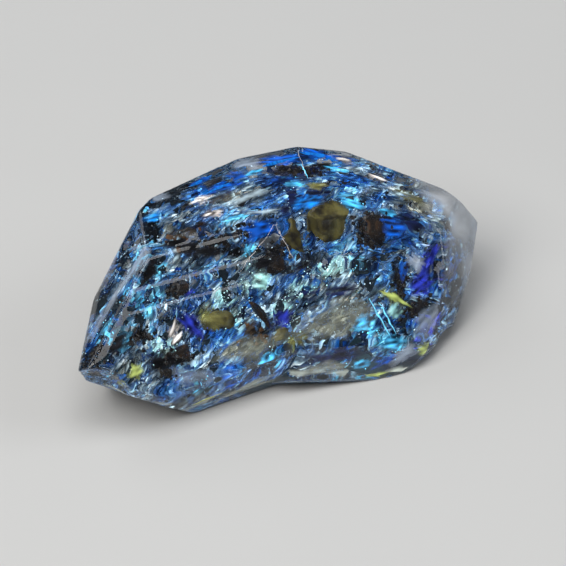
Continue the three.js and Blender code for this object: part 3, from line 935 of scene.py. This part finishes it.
def loose_grains(kind, widths, rng):
    """The loose drops or crumbs of all the clouds."""
    grains = []
    for cloud in CLOUDS:
        family = FAMILIES[cloud.family]
        count = round(getattr(family, kind) * math.pi * cloud.reach[0] * cloud.reach[1])
        streak = image_axis(cloud.rise)[1]
        for point, inward in cloud_points(cloud, count, rng):
            width = rng.uniform(*widths)
            if depth_inside(point) < 2 * width or hides_sealed(point):
                continue
            shade = rng.uniform(*LOOSE_SHADES)
            normal = LOOSE_TILT * random_direction(rng) - inward
            along = streak + LOOSE_TILT * random_direction(rng)
            tint = (np.array(family.tint) * shade).clip(0, 1)
            glow = np.array(family.glow) * LOOSE_GLOW * shade
            grains.append(Grain(point, normal, along, width, tint, glow))
    return grains


def glint_grains(rng):
    grains = []
    for _ in range(GLINTS):
        point = random_inside(rng, GLINT_DEPTH)
        while hides_sealed(point):
            point = random_inside(rng, GLINT_DEPTH)
        width = rng.uniform(*GLINT_WIDTH)
        tint = np.array(GLINT_TINT) * rng.uniform(*GLINT_SHADES)
        glow = np.array(GLINT_GLOW) * rng.uniform() ** GLINT_RARITY
        grains.append(Grain(point, random_direction(rng), random_direction(rng), width, tint, glow))
    return grains


# Smooth films

def film_rings(film, unevenness, rng):
    """One film as rings of points round its middle, and the cover at each, which thins out to the edge."""
    middle, inward = seen_inside(film.middle, film.depth)
    normal = (FILM_LEAN * random_direction(rng) - inward).normalized()
    streak = image_axis(film.rise)[1]
    side = (streak - streak.dot(normal) * normal).normalized()
    other = normal.cross(side)
    half_length, half_width = (r * VIEW_WIDTH / PHOTO_SIDE for r in film.reach)
    offset = noise_offset(rng)
    points, covers = [], []
    for ring in range(FILM_RINGS + 1):
        for spoke in range(FILM_SPOKES):
            turn = 2 * math.pi * spoke / FILM_SPOKES
            round_edge = Vector((math.cos(turn), math.sin(turn), 0))
            broad, fine = (noise.noise(waves * round_edge + offset) for waves in FILM_EDGE_WAVES)
            out = ring / FILM_RINGS * (1 + FILM_RAGGED * (broad + FILM_FINE_EDGE * fine))
            u, v = out * half_length * round_edge.x, out * half_width * round_edge.y
            bend = FILM_BEND * noise.noise(offset + Vector((u, v, 0)))
            point = middle + u * side + v * other + bend * normal
            drawn_out = Vector((FILM_STREAK_WAVES[0] * u, FILM_STREAK_WAVES[1] * v, 0))
            streaks = unevenness * FILM_STREAKS * noise.noise(offset + drawn_out)
            fade = max(0, 1 - (ring / FILM_RINGS) ** 2)
            kept = depth_inside(point) > FILM_DEPTH
            points.append(point)
            covers.append(min(1, film.cover * fade * (FILM_FULL + streaks)) if kept else None)
    return points, covers


def film_mesh(rng):
    places, faces, tints, glows, covers = [], [], [], [], []
    for film in FILMS:
        tint, glow, unevenness = (np.array(value) for value in FILM_TINTS[film.family])
        streak = image_axis(film.rise)[1]
        base = len(places)
        points, thickness = film_rings(film, unevenness, rng)
        for ring in range(FILM_RINGS):
            for spoke in range(FILM_SPOKES):
                a, b = ring * FILM_SPOKES + spoke, ring * FILM_SPOKES + (spoke + 1) % FILM_SPOKES
                for corners in ((a, b + FILM_SPOKES, b), (a, a + FILM_SPOKES, b + FILM_SPOKES)):
                    if all(thickness[c] is not None for c in corners) and (ring or corners[2] != b):
                        faces.append([base + c for c in corners])
        places += points
        covers += [cover or 0 for cover in thickness]
        grain = [flow_noise(point, streak, FILM_GRAIN) for point in points]
        shades = [max(FILM_DARKEST, FILM_SHADE + unevenness * level) for level in grain]
        tints += [(tint * shade).clip(0, 1) for shade in shades]
        glows += [glow * shade * shade for shade in shades]
    used, index = np.unique(faces, return_inverse=True)
    places, tints, glows, covers = (np.array(values)[used] for values in (places, tints, glows, covers))
    mesh = coloured_mesh("films", places, index.reshape(-1, 3), tints, glows)
    cover = mesh.attributes.new("cover", "FLOAT", "POINT")
    cover.data.foreach_set("value", covers)
    return mesh


# Long films

def streak_ribbon(streak, rng):
    """The corners of one film, row by row along its length."""
    start, end = np.array(streak.start), np.array(streak.end)
    offset = noise_offset(rng)
    rows = []
    for share in np.linspace(0, 1, STREAK_STEPS).tolist():
        place, inward = seen_inside((start + share * (end - start)).tolist(), streak.depth)
        if place is None or depth_inside(place) < streak.width:
            continue
        step = end - start
        across = inward.cross(CAMERA_RIGHT * float(step[0]) - CAMERA_UP * float(step[1])).normalized()
        wave = noise.noise(offset + Vector((STREAK_WAVES * share, 0, 0)))
        taper = math.sin(math.pi * (STREAK_TAPER + (1 - 2 * STREAK_TAPER) * share))
        half = streak.width / 2 * taper * (1 + STREAK_UNEVEN * wave)
        middle = place + STREAK_WAVE * wave * across
        lift = STREAK_THICKNESS * half * inward
        rows.append([middle - half * across, middle - lift, middle + half * across, middle + lift])
    return rows


def streak_mesh(rng):
    places, faces, tints, glows = [], [], [], []
    for streak in STREAKS:
        rows = streak_ribbon(streak, rng)
        family = FAMILIES[streak.family]
        base = len(places)
        for r in range(len(rows) - 1):
            row = base + STREAK_SIDES * r
            for k in range(STREAK_SIDES):
                a, b = row + k, row + (k + 1) % STREAK_SIDES
                faces += [(a, b, b + STREAK_SIDES), (a, b + STREAK_SIDES, a + STREAK_SIDES)]
        last = base + STREAK_SIDES * (len(rows) - 1)
        faces += [(base, base + 3, base + 2), (base, base + 2, base + 1)]
        faces += [(last, last + 1, last + 2), (last, last + 2, last + 3)]
        places += [corner for row in rows for corner in row]
        for _ in rows:
            shade = rng.uniform(*STREAK_SHADES)
            tints += [np.array(family.tint) * min(1, shade)] * STREAK_SIDES
            glows += [np.array(family.glow) * STREAK_GLOW * shade] * STREAK_SIDES
    return coloured_mesh("streaks", np.array(places), np.array(faces), np.array(tints), np.array(glows))


# Node materials

def new_material(name):
    material = bpy.data.materials.new(name)
    material.use_nodes = True
    nodes = material.node_tree.nodes
    return material, nodes, material.node_tree.links, nodes["Principled BSDF"]


def add_field(nodes, name, output):
    """A value that the mesh carries at its corners."""
    field = nodes.new("ShaderNodeAttribute")
    field.attribute_name = name
    return field.outputs[output]


def add_noise(nodes, links, scale, detail=4.0, rough=0.55):
    coordinates = nodes.new("ShaderNodeTexCoord")
    texture = nodes.new("ShaderNodeTexNoise")
    texture.inputs["Scale"].default_value = scale
    texture.inputs["Detail"].default_value = detail
    texture.inputs["Roughness"].default_value = rough
    links.new(coordinates.outputs["Object"], texture.inputs["Vector"])
    return texture.outputs["Fac"]


def add_ramp(nodes, links, source, stops):
    ramp = nodes.new("ShaderNodeValToRGB")
    marks = ramp.color_ramp.elements
    while len(marks) < len(stops):
        marks.new(0.5)
    for mark, (place, colour) in zip(marks, stops):
        mark.position = place
        mark.color = (*colour, 1)
    links.new(source, ramp.inputs["Fac"])
    return ramp.outputs["Color"]


def add_math(nodes, links, operation, *values):
    node = nodes.new("ShaderNodeMath")
    node.operation = operation
    for k, value in enumerate(values):
        if isinstance(value, bpy.types.NodeSocket):
            links.new(value, node.inputs[k])
        else:
            node.inputs[k].default_value = value
    return node.outputs["Value"]


def quartz_material():
    """Clear where the skin is clean; milky skin scatters a share of the light and blurs the rest."""
    material, nodes, links, shader = new_material("clear_quartz")
    shader.inputs["Base Color"].default_value = QUARTZ_TINT
    shader.inputs["IOR"].default_value = QUARTZ_IOR
    milk = add_field(nodes, "milk", "Fac")
    clear = add_math(nodes, links, "SUBTRACT", 1.0, milk)
    links.new(clear, shader.inputs["Transmission Weight"])
    frost = add_math(nodes, links, "MULTIPLY", milk, MILK_ROUGHNESS)
    smudge = add_math(nodes, links, "MULTIPLY", add_noise(nodes, links, SMUDGE_SCALE), SMUDGE_ROUGHNESS)
    links.new(add_math(nodes, links, "ADD", frost, smudge), shader.inputs["Roughness"])
    absorption = nodes.new("ShaderNodeVolumeAbsorption")
    absorption.inputs["Color"].default_value = QUARTZ_DEPTH_TINT
    absorption.inputs["Density"].default_value = QUARTZ_DENSITY
    links.new(absorption.outputs["Volume"], nodes["Material Output"].inputs["Volume"])
    return material


def inclusion_material(name, metallic, roughness):
    """Colour and painted glow come from the mesh, and a fine noise breaks up the gloss."""
    material, nodes, links, shader = new_material(name)
    for label, socket in (("tint", "Base Color"), ("glow", "Emission Color")):
        links.new(add_field(nodes, label, "Color"), shader.inputs[socket])
    shader.inputs["Emission Strength"].default_value = 1
    shader.inputs["Metallic"].default_value = metallic
    gloss = add_math(nodes, links, "MULTIPLY", add_noise(nodes, links, GLOSS_SCALE), 2 * roughness)
    links.new(gloss, shader.inputs["Roughness"])
    material.cycles.emission_sampling = "NONE"
    return material


def film_material():
    """An inclusion's material that lets what lies behind show where the film is thin."""
    material = inclusion_material("films", metallic=0, roughness=0.5)
    nodes, links = material.node_tree.nodes, material.node_tree.links
    nodes["Principled BSDF"].inputs["Specular IOR Level"].default_value = FILM_SHINE
    links.new(add_field(nodes, "cover", "Fac"), nodes["Principled BSDF"].inputs["Alpha"])
    return material


def mottled_material(name, stops, scale, roughness):
    material, nodes, links, shader = new_material(name)
    links.new(add_ramp(nodes, links, add_noise(nodes, links, scale), stops), shader.inputs["Base Color"])
    shader.inputs["Roughness"].default_value = roughness
    shader.inputs["Coat Weight"].default_value = COAT
    return material


def plain_floor_material():
    material, nodes, links, shader = new_material("pale_floor")
    pale = add_ramp(nodes, links, add_noise(nodes, links, FLOOR_SCALE), FLOOR_TINTS)
    links.new(pale, shader.inputs["Base Color"])
    shader.inputs["Roughness"].default_value = FLOOR_ROUGHNESS
    return material


# The pieces

def add_piece(name, mesh, material):
    piece = bpy.data.objects.new(name, mesh)
    bpy.context.scene.collection.objects.link(piece)
    mesh.materials.clear()
    mesh.materials.append(material)
    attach(piece, "root")
    return piece


def add_inclusion(name, mesh, metallic, roughness):
    return add_piece(name, mesh, inclusion_material(name, metallic, roughness))


clear_crystal = add_piece("clear_crystal", crystal_mesh, quartz_material())
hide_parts(*HALVES)

for label, sheet in (("healed_crack", crack_sheet(rng)), ("veils", veil_sheets(rng))):
    mesh = sheet_mesh(label, sheet, rng)
    piece = add_inclusion(label, mesh, metallic=0.8, roughness=0.17)
    thickness = piece.modifiers.new("thickness", "SOLIDIFY")
    thickness.thickness = SHEET_THICKNESS * MM

ball, ball_faces = ball_form()
drops = loose_grains("drops", DROP_RADIUS, rng)
drops = grain_mesh("drops", drops, ball, ball_faces, DROP_THICKNESS, DROP_RAGGED, rng)
drops.shade_smooth()
add_inclusion("oil_drops", drops, metallic=0.2, roughness=0.12)
crumbs = loose_grains("crumbs", CRUMB_WIDTH, rng)
crumbs = grain_mesh("crumbs", crumbs, FLAKE_FORM, FLAKE_FACES, CRUMB_THICKNESS, CRUMB_RAGGED, rng)
add_inclusion("bitumen_crumbs", crumbs, metallic=0, roughness=0.2)
glints = glint_grains(rng)
glints = grain_mesh("glints", glints, FLAKE_FORM, FLAKE_FACES, CRUMB_THICKNESS, CRUMB_RAGGED, rng)
add_inclusion("gas_glints", glints, metallic=0.9, roughness=0.15)
add_inclusion("oil_streaks", streak_mesh(rng), metallic=0.4, roughness=0.2)
films = film_mesh(rng)
films.shade_smooth()
add_piece("oil_films", films, film_material())

oil = mottled_material("olive_oil", OIL_TINTS, scale=1500, roughness=0.3)
bitumen = mottled_material("black_bitumen", BITUMEN_TINTS, scale=1800, roughness=0.25)
for node in SEALED:
    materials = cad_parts[node].data.materials
    materials.clear()
    materials.append(oil if node.startswith("oil") else bitumen)


# Floor, lights and camera

def add_floor():
    mesh = bpy.data.meshes.new("floor")
    half = FLOOR_SIDE / 2 * MM
    corners = [(-half, -half, 0), (half, -half, 0), (half, half, 0), (-half, half, 0)]
    mesh.from_pydata(corners, [], [range(4)])
    floor = bpy.data.objects.new("floor", mesh)
    bpy.context.scene.collection.objects.link(floor)
    mesh.materials.append(plain_floor_material())
    floor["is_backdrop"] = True


def linked_group(name, objects, state):
    """A collection that takes these objects into a lamp's light, or keeps them out of it."""
    group = bpy.data.collections.new(name)
    for member in objects:
        group.objects.link(member)
    for entry in group.collection_objects:
        entry.light_linking.link_state = state
    return group


def add_lamp(lamp, part, share, receivers, shadows):
    light = bpy.data.lights.new(lamp.name + part, "AREA")
    light.shape = "RECTANGLE"
    light.size = lamp.width * MM
    light.size_y = lamp.height * MM
    light.energy = lamp.watts * share
    light.color = lamp.colour
    light.use_shadow = shadows
    holder = bpy.data.objects.new(lamp.name + part, light)
    away = sky_direction(lamp.azimuth, lamp.elevation)
    holder.location = away * lamp.distance * MM
    holder.rotation_euler = away.to_track_quat("Z", "Y").to_euler()
    holder.visible_transmission = False
    holder.light_linking.receiver_collection = receivers
    bpy.context.scene.collection.objects.link(holder)


def add_lamps():
    """Each lamp twice: for the crystal's skin and the floor, and without shadows for all inside it."""
    sealed = [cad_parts[node] for node in SEALED]
    loose = [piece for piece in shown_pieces() if piece not in sealed and piece is not clear_crystal]
    outer = linked_group("outer_light", loose + sealed, "EXCLUDE")
    inner = linked_group("inner_light", loose + sealed, "INCLUDE")
    for lamp in LAMPS:
        add_lamp(lamp, "_outside", 1, outer, True)
        add_lamp(lamp, "_inside", lamp.inside, inner, False)


def add_world():
    world = bpy.data.worlds.new("studio")
    bpy.context.scene.world = world
    world.use_nodes = True
    world.node_tree.nodes["Background"].inputs["Color"].default_value = WORLD_TINT


def add_camera():
    data = bpy.data.cameras.new("camera")
    data.sensor_width = SENSOR_WIDTH
    data.lens = SENSOR_WIDTH * CAMERA_DISTANCE / VIEW_WIDTH
    data.clip_start = NEAREST_SEEN * MM
    camera = bpy.data.objects.new("camera", data)
    camera.location = CAMERA_PLACE * MM
    camera.rotation_euler = CAMERA_BACK.to_track_quat("Z", "Y").to_euler()
    bpy.context.scene.collection.objects.link(camera)
    bpy.context.scene.camera = camera


def set_light_paths():
    scene = bpy.context.scene
    scene.view_settings.view_transform = "Standard"
    scene.cycles.max_bounces = 24
    scene.cycles.transmission_bounces = 20
    scene.cycles.glossy_bounces = 8
    scene.cycles.transparent_max_bounces = 32
    scene.cycles.caustics_reflective = False
    scene.cycles.caustics_refractive = False
    scene.cycles.use_denoising = True


add_floor()
add_lamps()
add_world()
add_camera()
set_light_paths()
